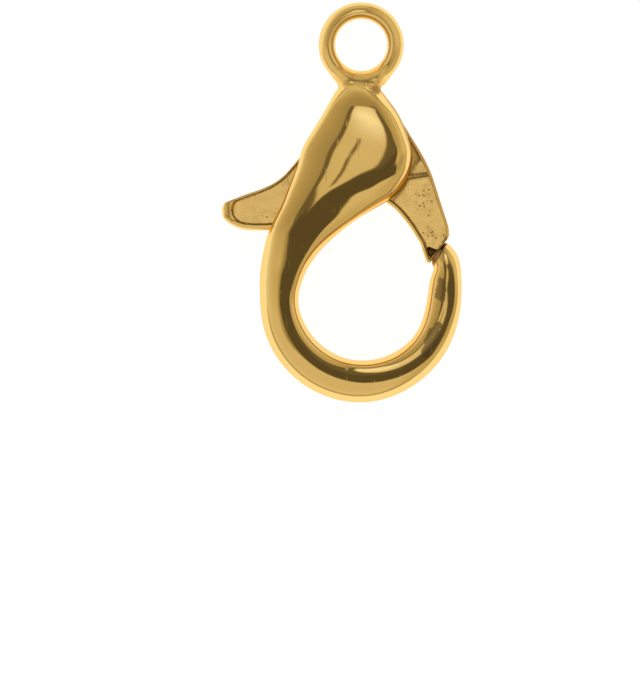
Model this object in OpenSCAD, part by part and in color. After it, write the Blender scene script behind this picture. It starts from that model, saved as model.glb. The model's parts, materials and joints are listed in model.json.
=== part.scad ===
// Lobster clasp for a necklace or bracelet, 23 x 14 mm, lying on its back.
// Units are millimetres. +Y runs to the ring, +X to the side of the gate, +Z up from the table.
// The origin is under the middle of the clasp.

/* [Hook] */
// Radius of the hook, from its centre to the middle of its wire
hook_r = 4.7; // [4.2:0.05:5.4]
// Width of the hook's wire at the bottom, seen from the front
wire_w = 2.42; // [2.1:0.02:2.7]
// Thickness of the hook's wire, front to back
wire_h = 2.8; // [2.6:0.05:3.1]

/* [Head] */
// Distance from the hook's centre up to the ring's centre
ring_up = 14.6; // [13.9:0.05:15.6]
// Width of the domed head across the pivot
head_w = 6.3; // [5.9:0.02:6.9]
// Thickness of the head, from the table to the top of the dome
head_h = 3.8; // [3.6:0.05:4.5]
// Height of the slot's middle plane over the table
slot_z = 1.75; // [1.6:0.05:1.95]

/* [Ring] */
// Inside diameter of the ring
ring_d = 3; // [2.2:0.1:3.4]
// Width of the ring's wire, between its inside and its outside
ring_wire = 0.94; // [0.7:0.02:1.2]

/* [Lever] */
// Height of the pivot above the hook's centre
pivot_up = 9.84; // [9.4:0.02:10.2]
// Distance of the pivot to the right of the hook's centre
pivot_side = 0.28; // [0.1:0.02:0.5]
// Thickness of the lever
lever_t = 1.6; // [1.3:0.05:1.7]
// Radius of the lever's boss round the pivot
boss_r = 1.38; // [1.2:0.02:1.5]
// Distance from the pivot to the tip of the thumb tab
tab_reach = 9.53; // [8.8:0.02:10.2]
// Width of the thumb tab at its middle
tab_w = 2.38; // [2:0.02:2.6]
// Width of the gate where it leaves the head
gate_w = 3.42; // [3:0.02:3.7]
// Width of the raised rim round the lever's recesses
rim_w = 0.32; // [0.2:0.01:0.4]
// Depth of the recesses in both faces of the tab and the gate
dish_d = 0.3; // [0.15:0.01:0.4]
// Radius of the lever's rounded edges
edge_r = 0.3; // [0.15:0.01:0.4]

/* [Pivot pin] */
// Diameter of the pivot pin
pin_d = 1.2; // [0.9:0.05:1.4]
// Metal left in front of the pin's blind end
pin_skin = 0.8; // [0.6:0.05:1.1]
// Depth of the pin's end below the lowest point of the back
pin_sink = 0.12; // [0.08:0.01:0.3]

/* [Clearances] */
// Gap between the lever and each side of the slot
side_gap = 0.1; // [0.06:0.01:0.15]
// Gap between the lever's edges and the ends of the slot
run_gap = 0.15; // [0.1:0.01:0.25]
// Gap between the gate's end and the tip of the hook
tip_gap = 0.14; // [0.08:0.01:0.25]
// Radial gap between the pin and the lever
turn_gap = 0.05; // [0.03:0.01:0.08]
// Radial gap between the pin and its bore in the head
pin_gap = 0.02; // [0.01:0.01:0.03]

/* [Hidden] */
// Colour of the gold plating
GOLD = [0.85, 0.66, 0.28];
// Steps between two rows of a table, and points over the front of a body section, as over its back
STEPS = 3;
ROUND = 14;
// Exponent of the body's sections: 2 is an ellipse, more is squarer
FULL = 2.1;
// Height of the upright sides of the hook's wire, share of the slot's thickness
HOOK_BAND = 0.1;

// Where the ring's outline leaves its circle for the neck, and how far that goes on, degrees round from its foot
NECK_FROM = 53;
NECK_SPAN = 27;

slot_t = lever_t + 2 * side_gap;
// The ring is a round wire, and the drill that clears its hole leaves a narrow straight land
ring_tube = ring_wire * 0.532;
ring_mid_r = ring_d / 2 + ring_wire - ring_tube;

// The clasp's sides, from the hook's centre, which put the origin under its middle
x_right = hook_r * 1.014 + wire_w * 0.409;
x_left = pivot_side - tab_reach * 0.867;
y_top = ring_up + ring_d / 2 + ring_wire;
y_low = -hook_r - wire_w / 2;

// Sections of the head, from the ring down to the left leg of the hook.
// up: height of the middle over the hook's centre, share of ring_up
// side: its place to the right of the hook's centre, share of head_w
// turn: direction from the outer to the inner edge, degrees
// w: width, share of head_w
// top: front, share of head_h
// mid: height of the widest line, 0 for half of wire_h, 1 for slot_z
// low: back, share of slot_z
// band: height of the upright sides, share of the slot's thickness
// crest: how far the highest line lies from the middle to the inner edge, share of half the width
// flank: exponent of the front from the crest to the inner edge
HEAD = [
  // up,   side,   turn,    w,   top,   mid, low,  band, crest, flank
  [0.872, -0.050,   0.0, 0.130, 0.580, 1.0, 0.74, 0.20,  0.00, 2.1],
  [0.851, -0.038,  -1.0, 0.235, 0.640, 1.0, 0.62, 0.25,  0.00, 2.1],
  [0.838, -0.032,  -2.0, 0.315, 0.680, 1.0, 0.52, 0.30,  0.05, 2.1],
  [0.825, -0.018,  -3.0, 0.420, 0.725, 1.0, 0.44, 0.40,  0.10, 2.1],
  [0.805, -0.006,  -5.0, 0.460, 0.780, 1.0, 0.34, 0.55,  0.22, 2.1],
  [0.766,  0.023, -10.5, 0.598, 0.870, 1.0, 0.20, 0.80,  0.42, 2.1],
  [0.698,  0.041, -15.8, 0.771, 0.965, 1.0, 0.05, 1.00,  0.54, 2.1],
  [0.621,  0.018, -14.8, 0.926, 1.000, 1.0, 0.00, 1.00,  0.57, 2.0],
  [0.541, -0.049, -15.4, 1.000, 1.000, 1.0, 0.00, 1.00,  0.50, 1.8],
  [0.462, -0.140, -15.6, 0.931, 0.982, 1.0, 0.03, 1.00,  0.26, 1.7],
  [0.403, -0.252, -12.4, 0.830, 0.955, 1.0, 0.05, 1.00,  0.12, 1.7],
  [0.339, -0.385,  -9.0, 0.701, 0.920, 1.0, 0.06, 1.00,  0.08, 1.8],
  [0.266, -0.532,  -8.4, 0.594, 0.882, 1.0, 0.05, 0.70,  0.14, 2.0],
  [0.186, -0.644,  -6.5, 0.486, 0.840, 0.8, 0.03, 0.30,  0.25, 2.3],
  [0.098, -0.717,   0.5, 0.411, 0.790, 0.4, 0.01, 0.12,  0.33, 2.6],
];

// Sections of the hook, from its left leg round the bottom to its tip.
// at: direction of the middle from the hook's centre, degrees
// r: its distance from the hook's centre, share of hook_r
// lean: how far the section turns off that direction, degrees
// w: width, share of wire_w
// top: front, share of wire_h
// mid: as in HEAD
// low, crest, flank: as in HEAD
HOOK = [
  // at,    r,     lean,    w,    top,  mid,  low, crest, flank
  [180.0, 1.000,   0.0, 0.912, 1.030, 0.1, 0.00,  0.34, 2.8],
  [210.0, 0.995,  -1.0, 0.980, 1.005, 0.0, 0.00,  0.33, 2.5],
  [240.0, 0.995,  -2.0, 1.010, 1.000, 0.0, 0.00,  0.31, 2.4],
  [270.0, 1.000,  -1.4, 1.000, 1.000, 0.0, 0.00,  0.27, 2.5],
  [300.0, 0.995,  -3.0, 0.920, 1.000, 0.0, 0.00,  0.04, 2.4],
  [330.0, 1.000,  -3.0, 0.840, 1.000, 0.2, 0.05, -0.10, 2.8],
  [360.0, 1.014,   0.0, 0.818, 1.010, 0.5, 0.15, -0.34, 2.8],
  [377.1, 1.082,  -4.1, 0.742, 1.020, 0.8, 0.28, -0.28, 2.6],
  [385.3, 1.126,   8.7, 0.635, 1.020, 1.0, 0.38, -0.10, 2.3],
  [389.0, 1.113,  21.0, 0.635, 1.010, 1.0, 0.42,  0.00, 2.1],
  [390.1, 1.106,  28.0, 0.620, 0.960, 1.0, 0.48,  0.00, 2.1],
];

// Sections of the gate, from its end at the hook's tip up to the boss.
// along: distance of the middle from the pivot towards the gate's end, share of the whole
// off: distance to the left of that line, share of the same
// turn: direction from the outer to the inner edge, degrees past that line's own
// w: width, share of gate_w
// thick: thickness, share of lever_t
// dish: depth of the recess, share of dish_d
GATE = [
  // along, off,    turn,    w,   thick, dish
  [1.000, 0.000,  -66.5, 0.540, 0.92, 0.0],
  [0.980, 0.011,  -72.6, 0.552, 1.00, 0.3],
  [0.947, 0.022,  -79.6, 0.549, 1.00, 1.0],
  [0.888, 0.040,  -85.5, 0.554, 1.00, 1.0],
  [0.819, 0.049,  -83.2, 0.595, 1.00, 1.0],
  [0.742, 0.057,  -78.7, 0.652, 1.00, 1.0],
  [0.659, 0.064,  -74.0, 0.740, 1.00, 1.0],
  [0.563, 0.069,  -69.1, 0.855, 1.00, 1.0],
  [0.469, 0.064,  -62.7, 0.978, 1.00, 1.0],
  [0.359, 0.051,  -52.7, 1.150, 1.00, 0.6],
];

// Sections of the lever round the pivot, inside the head.
// x, y: middle from the pivot, shares of boss_r
// turn: direction from the outer to the inner edge, degrees
// w: width, share of boss_r
BOSS = [
  // x,     y,     turn,     w
  [ 1.000, -1.181, -105.7, 3.060],
  [ 0.522, -0.790,  -98.9, 2.940],
  [-0.043, -0.543,  -91.5, 3.080],
  [-0.601, -0.812,  -86.1, 3.040],
  [-1.312, -1.413,  -79.5, 2.950],
];

// Sections of the thumb tab, from the boss out to its tip.
// x, y: middle from the pivot, shares of tab_reach
// turn: direction from the upper to the lower edge, degrees
// w: width, share of tab_w
// thick: thickness, share of lever_t
// dish: depth of the recess, share of dish_d
TAB = [
  // x,      y,     turn,   w,    thick, dish
  [-0.304, -0.304, -78.7, 1.597, 1.00, 0.6],
  [-0.409, -0.389, -84.2, 1.420, 1.00, 1.0],
  [-0.515, -0.459, -86.5, 1.172, 1.00, 1.0],
  [-0.620, -0.492, -87.2, 1.000, 1.00, 1.0],
  [-0.710, -0.507, -86.8, 0.870, 1.00, 1.0],
  [-0.779, -0.512, -88.0, 0.706, 1.00, 0.9],
  [-0.829, -0.507, -88.7, 0.517, 0.94, 0.2],
  [-0.858, -0.501, -90.0, 0.336, 0.78, 0.0],
  [-0.867, -0.500, -90.0, 0.097, 0.50, 0.0],
];

function mix(a, b, t) = a + (b - a) * t;
function sharp(v, p) = sign(v) * pow(abs(v), p);
function turned(p, a) = [p.x * cos(a) - p.y * sin(a), p.x * sin(a) + p.y * cos(a)];

// A smooth curve through the rows of a table, with n steps between two rows
function curve(a, b, c, d, t) =
  b + 0.5 * t * (c - a + t * (2 * a - 5 * b + 4 * c - d + t * (3 * (b - c) + d - a)));
function smooth(rows, n) = let (last = len(rows) - 1) [
  for (i = [0 : last - 1], k = [0 : n - 1])
    curve(rows[max(i - 1, 0)], rows[i], rows[i + 1], rows[min(i + 2, last)], k / n),
  rows[last]
];

// Rows in millimetres: x, y, turn, width, then what the piece's own section needs
function mid_z(share) = mix(wire_h / 2, slot_z, share);
function head_row(r) =
  [r[1] * head_w, r[0] * ring_up, r[2], r[3] * head_w, r[4] * head_h, mid_z(r[5]), r[6] * slot_z,
   r[7] * slot_t / 2, r[8], r[9]];
function hook_row(r) =
  [r[1] * hook_r * cos(r[0]), r[1] * hook_r * sin(r[0]), r[0] - 180 + r[2],
   r[3] * wire_w, r[4] * wire_h, mid_z(r[5]), r[6] * slot_z, HOOK_BAND * slot_t / 2, r[7], r[8]];
body_rows = smooth(concat([for (r = HEAD) head_row(r)], [for (r = HOOK) hook_row(r)]), STEPS);

// The gate ends tip_gap short of the hook's tip, and its rows lie along the line to there
pivot = [pivot_side, pivot_up];
tip_row = hook_row(HOOK[len(HOOK) - 1]);
tip_way = turned([0, -1], tip_row[2]);
gate_end = [tip_row[0], tip_row[1]] + tip_gap * tip_way - pivot;
gate_reach = norm(gate_end);
gate_turn = atan2(gate_end.y, gate_end.x);
function gate_row(r) =
  let (p = turned([r[0], r[1]] * gate_reach, gate_turn))
  [p.x, p.y, gate_turn + r[2], r[3] * gate_w, r[4] * lever_t, r[5] * dish_d];
function boss_row(r) = [r[0] * boss_r, r[1] * boss_r, r[2], r[3] * boss_r, lever_t, 0];
function tab_row(r) =
  [r[0] * tab_reach, r[1] * tab_reach, r[2], r[3] * tab_w, r[4] * lever_t, r[5] * dish_d];
tab_rows = [for (r = TAB) tab_row(r)];
lever_rows =
  smooth(concat([for (r = GATE) gate_row(r)], [for (r = BOSS) boss_row(r)], tab_rows), 2);
tab_low = min([for (r = tab_rows) r[1] - r[3] / 2]);

// A section stands upright on its middle: u runs from the outer to the inner edge, z is up
function stand(r, uz) = [r[0] + uz.x * cos(r[2]), r[1] + uz.x * sin(r[2]), uz.y];

// A rounded section of the body: the back, an upright side, the front, an upright side
function body_ring(r) = [
  for (face = [1, -1], j = [0 : ROUND - 1])
    let (a = 180 * j / (ROUND - 1) + (face > 0 ? 0 : 180), reach = (face > 0 ? r[4] - r[5] : r[5] - r[6]),
         power = face > 0 && a < 90 ? r[9] : FULL, u = sharp(cos(a), 2 / power), v = sharp(sin(a), 2 / power))
    stand(r, [(r[8] + u * (1 - sign(u) * r[8])) * r[3] / 2, r[5] + face * r[7] + v * (reach - r[7])])
];

// A section of the lever: rounded edges, a rim and a recess, the same on both faces
function lever_half(a, h, dish) =
  let (e = min(edge_r, a * 0.45, h * 0.8), rim = min(rim_w, a * 0.6), foot = rim + min(rim_w * 0.3, a * 0.2))
  [[a, h - e], [a - 0.293 * e, h - 0.293 * e], [a - e, h], [a - max(rim, e), h],
   [a - max(foot, e), h - dish]];
function lever_ring(r) =
  let (half = lever_half(r[3] / 2, r[4] / 2, r[5]), n = len(half) - 1)
  [for (q = [[1, 1], [-1, 1], [-1, -1], [1, -1]], k = [0 : n])
    let (p = half[q.x * q.y > 0 ? k : n - k])
    stand(r, [q.x * p.x, slot_z + q.y * p.y])];

// A closed solid through a list of rings with as many points each
module loft(rings) {
  m = len(rings[0]);
  n = len(rings);
  polyhedron(
    points = [for (ring = rings) each ring],
    faces = concat(
      [[for (j = [0 : m - 1]) j]],
      [for (i = [0 : n - 2], j = [0 : m - 1])
        let (k = (j + 1) % m, a = i * m, b = a + m) each [[a + j, b + j, b + k], [a + j, b + k, a + k]]],
      [[for (j = [m - 1 : -1 : 0]) (n - 1) * m + j]]
    ),
    convexity = 10
  );
}

// From the hook's centre to the origin under the middle of the clasp
module place() {
  translate([-(x_left + x_right) / 2, -(y_top + y_low) / 2, 0]) children();
}

module at_pivot() {
  translate([pivot.x, pivot.y, 0]) children();
}

// The slot that the lever turns in: open at both sides and to the hook's inside
module slot() {
  wide = 2 * head_w;
  right = head_w * 0.56;
  shoulder = boss_r * 0.62;
  at_pivot() translate([0, 0, slot_z - slot_t / 2]) {
    linear_extrude(slot_t) polygon([
      [-wide, boss_r], [boss_r * 0.84, boss_r], [boss_r * 1.5, shoulder], [right, shoulder],
      [right, tab_low - run_gap], [-wide, tab_low - run_gap]
    ]);
    cylinder(h = slot_t, r = boss_r + run_gap, $fn = 64);
  }
}

// The web that fills the corners between the ring and the neck. Each side runs straight from the neck into the
// ring's wire, just inside the line that touches the ring at NECK_FROM
module neck() {
  r = ring_d / 2 + ring_wire;
  foot = NECK_FROM - NECK_SPAN;
  top = NECK_FROM + 10;
  function at(radius, turn) = radius * [sin(turn), -cos(turn)];
  translate([0, ring_up, slot_z - ring_tube * 0.7])
    linear_extrude(ring_tube * 1.4)
      polygon([
        for (side = [-1, 1], k = [0, 1]) let (k2 = side < 0 ? 1 - k : k)
          at(k2 == 0 ? r / cos(NECK_SPAN) : r * 0.97, side * (k2 == 0 ? foot : top)),
        for (k = [6 : -1 : -6]) at(ring_mid_r, top * k / 6)
      ]);
}

// Hook, domed head and ring, cast in one piece
module body() {
  color(GOLD) place() difference() {
    union() {
      loft([for (r = body_rows) body_ring(r)]);
      translate([0, ring_up, slot_z])
        rotate_extrude($fn = 60) translate([ring_mid_r, 0]) circle(r = ring_tube, $fn = 28);
      neck();
    }
    slot();
    translate([0, ring_up, slot_z - ring_wire]) cylinder(h = 2 * ring_wire, d = ring_d, $fn = 64);
    at_pivot() translate([0, 0, -pin_sink])
      cylinder(h = head_h - pin_skin + pin_gap + pin_sink, d = pin_d + 2 * pin_gap, $fn = 48);
  }
}

// Thumb tab, boss and gate, cast in one piece
module lever() {
  color(GOLD) place() at_pivot() difference() {
    loft([for (r = lever_rows) lever_ring(r)]);
    cylinder(h = 2 * slot_z, d = pin_d + 2 * turn_gap, $fn = 48);
  }
}

// Pin pressed in from the back, which the lever turns on
module pivot_pin() {
  color(GOLD) place() at_pivot() translate([0, 0, pin_sink])
    cylinder(h = head_h - pin_skin - pin_sink, d = pin_d, $fn = 48);
}

body();
lever();
pivot_pin();
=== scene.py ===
"""Looks of a gold-coloured lobster clasp, lying on its back on a pale table and seen from straight above.

Lengths are millimetres until a mesh is made. Shapes are measured from the middle of the hook, and their last
step moves them to the solid model's frame: +Y runs to the ring, +X to the gate's side and +Z up from the table.
"""
import json
import math
import bmesh
import bpy
import numpy as np
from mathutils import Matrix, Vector


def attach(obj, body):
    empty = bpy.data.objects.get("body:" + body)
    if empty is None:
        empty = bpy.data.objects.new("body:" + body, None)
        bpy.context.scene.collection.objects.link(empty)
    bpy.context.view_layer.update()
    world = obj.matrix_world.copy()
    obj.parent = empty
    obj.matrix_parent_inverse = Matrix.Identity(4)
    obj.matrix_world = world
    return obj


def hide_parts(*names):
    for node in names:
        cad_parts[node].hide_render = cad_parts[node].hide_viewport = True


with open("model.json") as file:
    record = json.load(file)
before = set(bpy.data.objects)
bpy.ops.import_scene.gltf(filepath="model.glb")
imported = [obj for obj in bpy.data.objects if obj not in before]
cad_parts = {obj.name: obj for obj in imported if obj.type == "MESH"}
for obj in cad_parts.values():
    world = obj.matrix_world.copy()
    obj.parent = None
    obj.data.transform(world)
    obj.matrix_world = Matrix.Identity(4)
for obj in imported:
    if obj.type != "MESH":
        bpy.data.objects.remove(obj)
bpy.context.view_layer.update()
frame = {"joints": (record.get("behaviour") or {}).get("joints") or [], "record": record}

MM = 0.001

# Sizes of the casting
HOOK_R = 4.7
WIRE_W = 2.42
WIRE_H = 2.8
RING_UP = 14.6
HEAD_W = 6.3
HEAD_H = 3.8
RING_WIRE = 0.94
PIVOT_UP = 9.84
PIVOT_SIDE = 0.28

# Sizes of the lever and its pin
LEVER_T = 1.6
BOSS_R = 1.38
TAB_REACH = 9.53
TAB_W = 2.38
GATE_W = 3.42
PIN_D = 1.2
PIN_SKIN = 0.8
PIN_SINK = 0.12

# Gaps
SIDE_GAP = 0.1
RUN_GAP = 0.15
TIP_GAP = 0.14
TURN_GAP = 0.05
PIN_GAP = 0.02

# Places that the solid model gives
PIVOT = np.array(frame["joints"][0]["pos_m"]) / MM
SLOT_Z = PIVOT[2]
CENTRE = np.array([PIVOT[0] - PIVOT_SIDE, PIVOT[1] - PIVOT_UP, 0])
RING_R = frame["record"]["mounts"][0]["dims"]["r_mm"]
SLOT_HALF = LEVER_T / 2 + SIDE_GAP
RING_TUBE = RING_WIRE * 0.532
RING_MID_R = RING_R + RING_WIRE - RING_TUBE

# Exponent of the casting's rounded sections: 2 is an ellipse, more is squarer
FULL = 2.1
# Rounding of the slot's four long edges and of the hook's tip
SHELL_EDGE = 0.09
TIP_EDGE = 0.26
# How far the tip's face runs out under the gate's end, and how far the gate's end draws back over it
TIP_SWELL = 0.2
END_SLANT = 0.16

# Sections of the head, from the ring down to the hook's left leg
# up: height over the hook's centre, share of RING_UP; side and w: place and width, shares of HEAD_W
# turn: direction from the outer to the inner edge, degrees; top: front, share of HEAD_H
# mid: height of the widest line, 0 for half of WIRE_H and 1 for SLOT_Z; low: back, share of SLOT_Z
# band: height of the upright sides, share of the slot; crest: highest line, share of half the width
# flank: exponent of the front from the crest to the inner edge
HEAD = np.array([
    # up,   side,   turn,    w,   top,   mid, low,  band, crest, flank
    [0.872, -0.050,   0.0, 0.130, 0.580, 1.0, 0.74, 0.20,  0.00, 2.1],
    [0.851, -0.038,  -1.0, 0.235, 0.640, 1.0, 0.62, 0.25,  0.00, 2.1],
    [0.838, -0.032,  -2.0, 0.315, 0.680, 1.0, 0.52, 0.30,  0.05, 2.1],
    [0.825, -0.018,  -3.0, 0.420, 0.725, 1.0, 0.44, 0.40,  0.10, 2.1],
    [0.805, -0.006,  -5.0, 0.460, 0.780, 1.0, 0.34, 0.55,  0.22, 2.1],
    [0.766,  0.023, -10.5, 0.598, 0.870, 1.0, 0.20, 0.80,  0.42, 2.1],
    [0.698,  0.041, -15.8, 0.771, 0.965, 1.0, 0.05, 1.00,  0.54, 2.1],
    [0.621,  0.018, -14.8, 0.926, 1.000, 1.0, 0.00, 1.00,  0.57, 2.0],
    [0.541, -0.049, -15.4, 1.000, 1.000, 1.0, 0.00, 1.00,  0.50, 1.8],
    [0.462, -0.140, -15.6, 0.931, 0.982, 1.0, 0.03, 1.00,  0.26, 1.7],
    [0.403, -0.252, -12.4, 0.830, 0.955, 1.0, 0.05, 1.00,  0.12, 1.7],
    [0.339, -0.385,  -9.0, 0.701, 0.920, 1.0, 0.06, 1.00,  0.08, 1.8],
    [0.266, -0.532,  -8.4, 0.594, 0.882, 1.0, 0.05, 0.70,  0.14, 2.0],
    [0.186, -0.644,  -6.5, 0.486, 0.840, 0.8, 0.03, 0.30,  0.25, 2.3],
    [0.098, -0.717,   0.5, 0.411, 0.790, 0.4, 0.01, 0.12,  0.33, 2.6],
])

# Sections of the hook, round to its tip
# at: direction from the hook's centre, degrees; r: distance from it, share of HOOK_R
# lean: how far the section turns off that direction, degrees; w and top: shares of WIRE_W and WIRE_H
HOOK = np.array([
    # at,    r,     lean,    w,    top,  mid,  low, crest, flank
    [180.0, 1.000,   0.0, 0.912, 1.030, 0.1, 0.00,  0.34, 2.8],
    [210.0, 0.995,  -1.0, 0.980, 1.005, 0.0, 0.00,  0.33, 2.5],
    [240.0, 0.995,  -2.0, 1.010, 1.000, 0.0, 0.00,  0.31, 2.4],
    [270.0, 1.000,  -1.4, 1.000, 1.000, 0.0, 0.00,  0.27, 2.5],
    [300.0, 0.995,  -3.0, 0.920, 1.000, 0.0, 0.00,  0.10, 2.4],
    [330.0, 1.000,  -3.0, 0.840, 1.000, 0.2, 0.05, -0.18, 2.8],
    [360.0, 1.014,   0.0, 0.818, 1.010, 0.5, 0.15, -0.50, 2.8],
    [377.1, 1.082,  -4.1, 0.742, 1.020, 0.8, 0.28, -0.42, 2.6],
    [385.3, 1.126,   8.7, 0.635, 1.020, 1.0, 0.38, -0.10, 2.3],
    [389.0, 1.113,  21.0, 0.635, 1.010, 1.0, 0.42,  0.00, 2.1],
    [390.1, 1.106,  28.0, 0.620, 0.960, 1.0, 0.48,  0.00, 2.1],
])
HOOK_BAND = 0.1

# Sections of the gate, from its end at the hook's tip up to the boss
# along and off: place on the line from the pivot to the gate's end, and to its left, shares of its length
# turn: direction from the outer to the inner edge, degrees past that line's own
# w and thick: shares of GATE_W and LEVER_T; dish: depth of the recess, share of DISH
GATE = np.array([
    # along, off,    turn,    w,   thick, dish
    [1.000, 0.000,  -66.5, 0.540, 0.92, 1.0],
    [0.980, 0.011,  -72.6, 0.552, 1.00, 1.0],
    [0.947, 0.022,  -79.6, 0.549, 1.00, 1.0],
    [0.888, 0.040,  -85.5, 0.554, 1.00, 1.0],
    [0.819, 0.049,  -83.2, 0.595, 1.00, 1.0],
    [0.742, 0.057,  -78.7, 0.652, 1.00, 1.0],
    [0.659, 0.064,  -74.0, 0.740, 1.00, 1.0],
    [0.563, 0.069,  -69.1, 0.855, 1.00, 1.0],
    [0.469, 0.064,  -62.7, 0.978, 1.00, 1.0],
    [0.359, 0.051,  -52.7, 1.150, 1.00, 0.6],
])

# Sections round the pivot, inside the head; x and y from the pivot and w are shares of BOSS_R
BOSS = np.array([
    # x,     y,     turn,     w
    [ 1.000, -1.181, -105.7, 3.060],
    [ 0.522, -0.790,  -98.9, 2.940],
    [-0.043, -0.543,  -91.5, 3.080],
    [-0.601, -0.812,  -86.1, 3.040],
    [-1.312, -1.413,  -79.5, 2.950],
])

# Sections of the thumb tab, out to its tip; x and y from the pivot are shares of TAB_REACH, w of TAB_W
TAB = np.array([
    # x,      y,     turn,   w,    thick, dish
    [-0.304, -0.304, -78.7, 1.597, 1.00, 0.5],
    [-0.409, -0.389, -84.2, 1.420, 1.00, 0.9],
    [-0.515, -0.459, -86.5, 1.172, 1.00, 1.0],
    [-0.620, -0.492, -87.2, 1.000, 1.00, 1.0],
    [-0.710, -0.507, -86.8, 0.870, 1.00, 1.0],
    [-0.779, -0.512, -88.0, 0.706, 1.00, 1.0],
    [-0.829, -0.507, -88.7, 0.517, 0.94, 1.0],
    [-0.858, -0.501, -90.0, 0.336, 0.78, 1.0],
    [-0.867, -0.500, -90.0, 0.097, 0.50, 1.0],
])


# Curves and waves

def sharp(v, power):
    """The size of v raised to a power, with v's own sign."""
    return np.sign(v) * np.abs(v) ** power


def ease(t):
    """0 up to t = 0, 1 from t = 1, and 3t^2 - 2t^3 between them."""
    t = np.clip(t, 0, 1)
    return t * t * (3 - 2 * t)


def reach_along(places):
    """Length along a run of points, from its first one."""
    steps = np.linalg.norm(np.diff(places, axis=0), axis=1)
    return np.concatenate([[0], np.cumsum(steps)])


def spline(knots, rows, at):
    """The twice-smooth cubic through the rows of a table that stand at knots, read at the places in `at`. Its
    second derivatives m solve h0 m0 + 2 (h0 + h1) m1 + h1 m2 = 6 (slope1 - slope0), and are 0 at the ends."""
    h = np.diff(knots)
    slope = np.diff(rows, axis=0) / h[:, None]
    n = len(knots)
    system = np.eye(n)
    inner = np.arange(1, n - 1)
    system[inner, inner - 1] = h[:-1]
    system[inner, inner] = 2 * (h[:-1] + h[1:])
    system[inner, inner + 1] = h[1:]
    right = np.zeros_like(rows)
    right[1:-1] = 6 * np.diff(slope, axis=0)
    m = np.linalg.solve(system, right)
    i = np.clip(np.searchsorted(knots, at, side="right") - 1, 0, n - 2)
    t = (at - knots[i])[:, None]
    k = h[i][:, None]
    bend = (m[i + 1] - m[i]) / (6 * k)
    return rows[i] + t * (slope[i] - k * (2 * m[i] + m[i + 1]) / 6 + t * (m[i] / 2 + t * bend))


def steady(knots, rows, at, soft):
    """The cubic through the rows of a table that never swings past them: the slope at a row is the harmonic
    mean of the slopes beside it, and 0 at a turning point. The result is then averaged `soft` times with its
    two neighbours."""
    h = np.diff(knots)[:, None]
    slope = np.diff(rows, axis=0) / h
    a, b = slope[:-1], slope[1:]
    level = a * b <= 0
    inner = np.where(level, 0, 2 * a * b / np.where(level, 1, a + b))
    m = np.concatenate([slope[:1], inner, slope[-1:]])
    i = np.clip(np.searchsorted(knots, at, side="right") - 1, 0, len(knots) - 2)
    k = h[i]
    t = ((at - knots[i])[:, None]) / k
    out = (rows[i] * (1 + 2 * t) * (1 - t) ** 2 + k * m[i] * t * (1 - t) ** 2
           + rows[i + 1] * t * t * (3 - 2 * t) + k * m[i + 1] * t * t * (t - 1))
    for _ in range(soft):
        out[1:-1] = (out[:-2] + 2 * out[1:-1] + out[2:]) / 4
    return out


# Meshes

def quads(m, n):
    """Corner numbers of the faces of a grid of m rows of n points."""
    a = (np.arange(m - 1)[:, None] * n + np.arange(n - 1)).ravel()
    return np.stack([a, a + 1, a + n + 1, a + n], 1)


def weld_sheets(name, sheets, ends=()):
    """A closed mesh object from grids of places, joined where their edges fall on the same points.
    Each of `ends` is a closed run of points that gets one flat face."""
    places, faces, base = [], [], 0
    for sheet in sheets:
        m, n = sheet.shape[:2]
        places.append(sheet.reshape(-1, 3))
        faces += (quads(m, n) + base).tolist()
        base += m * n
    for run in ends:
        places.append(run)
        faces.append(list(range(base, base + len(run))))
        base += len(run)
    mesh = bpy.data.meshes.new(name)
    mesh.from_pydata(((np.concatenate(places) + CENTRE) * MM).tolist(), [], faces)
    bm = bmesh.new()
    bm.from_mesh(mesh)
    bmesh.ops.remove_doubles(bm, verts=bm.verts, dist=2e-4 * MM)
    bmesh.ops.dissolve_degenerate(bm, edges=bm.edges, dist=2e-4 * MM)
    bmesh.ops.recalc_face_normals(bm, faces=bm.faces)
    bm.to_mesh(mesh)
    bm.free()
    piece = bpy.data.objects.new(name, mesh)
    bpy.context.scene.collection.objects.link(piece)
    return piece


def cut_or_join(piece, other, operation):
    """The boolean of two closed pieces, made at once; the other piece is used up."""
    step = piece.modifiers.new(operation, "BOOLEAN")
    step.operation = operation
    step.solver = "EXACT"
    step.object = other
    apply_modifiers(piece)
    bpy.data.objects.remove(other)


def apply_modifiers(piece):
    """Replaces the piece's mesh by what its modifiers make of it."""
    graph = bpy.context.evaluated_depsgraph_get()
    finished = bpy.data.meshes.new_from_object(piece.evaluated_get(graph))
    piece.modifiers.clear()
    piece.data = finished


def places_of(mesh):
    """The mesh's points as millimetres from the hook's centre."""
    flat = np.empty(len(mesh.vertices) * 3)
    mesh.vertices.foreach_get("co", flat)
    return flat.reshape(-1, 3) / MM - CENTRE


def put_places(mesh, places):
    """Moves the mesh's points to these places, given as places_of gives them."""
    mesh.vertices.foreach_set("co", ((places + CENTRE) * MM).ravel())
    mesh.update()


# Faces that meet at more than this many degrees keep a hard line between them
HARD_CORNER = 34


def smooth_faces(piece, corner):
    """Soft shading with a hard line wherever two faces meet at more than `corner` degrees."""
    mesh = piece.data
    mesh.polygons.foreach_set("use_smooth", np.ones(len(mesh.polygons), bool))
    mesh.set_sharp_from_angle(angle=math.radians(corner))


def drum(name, radius, low, high, at, around=64):
    """A plain upright cylinder round `at`: two rings of points and two flat ends."""
    a = np.linspace(0, 2 * np.pi, around + 1)
    ring = np.stack([at[0] + radius * np.cos(a), at[1] + radius * np.sin(a)], 1)
    walls = np.stack([np.column_stack([ring, np.full(len(a), z)]) for z in (low, high)])
    return weld_sheets(name, [walls], [walls[0, :-1], walls[1, :-1]])


# The casting: hook, domed head and ring

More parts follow.
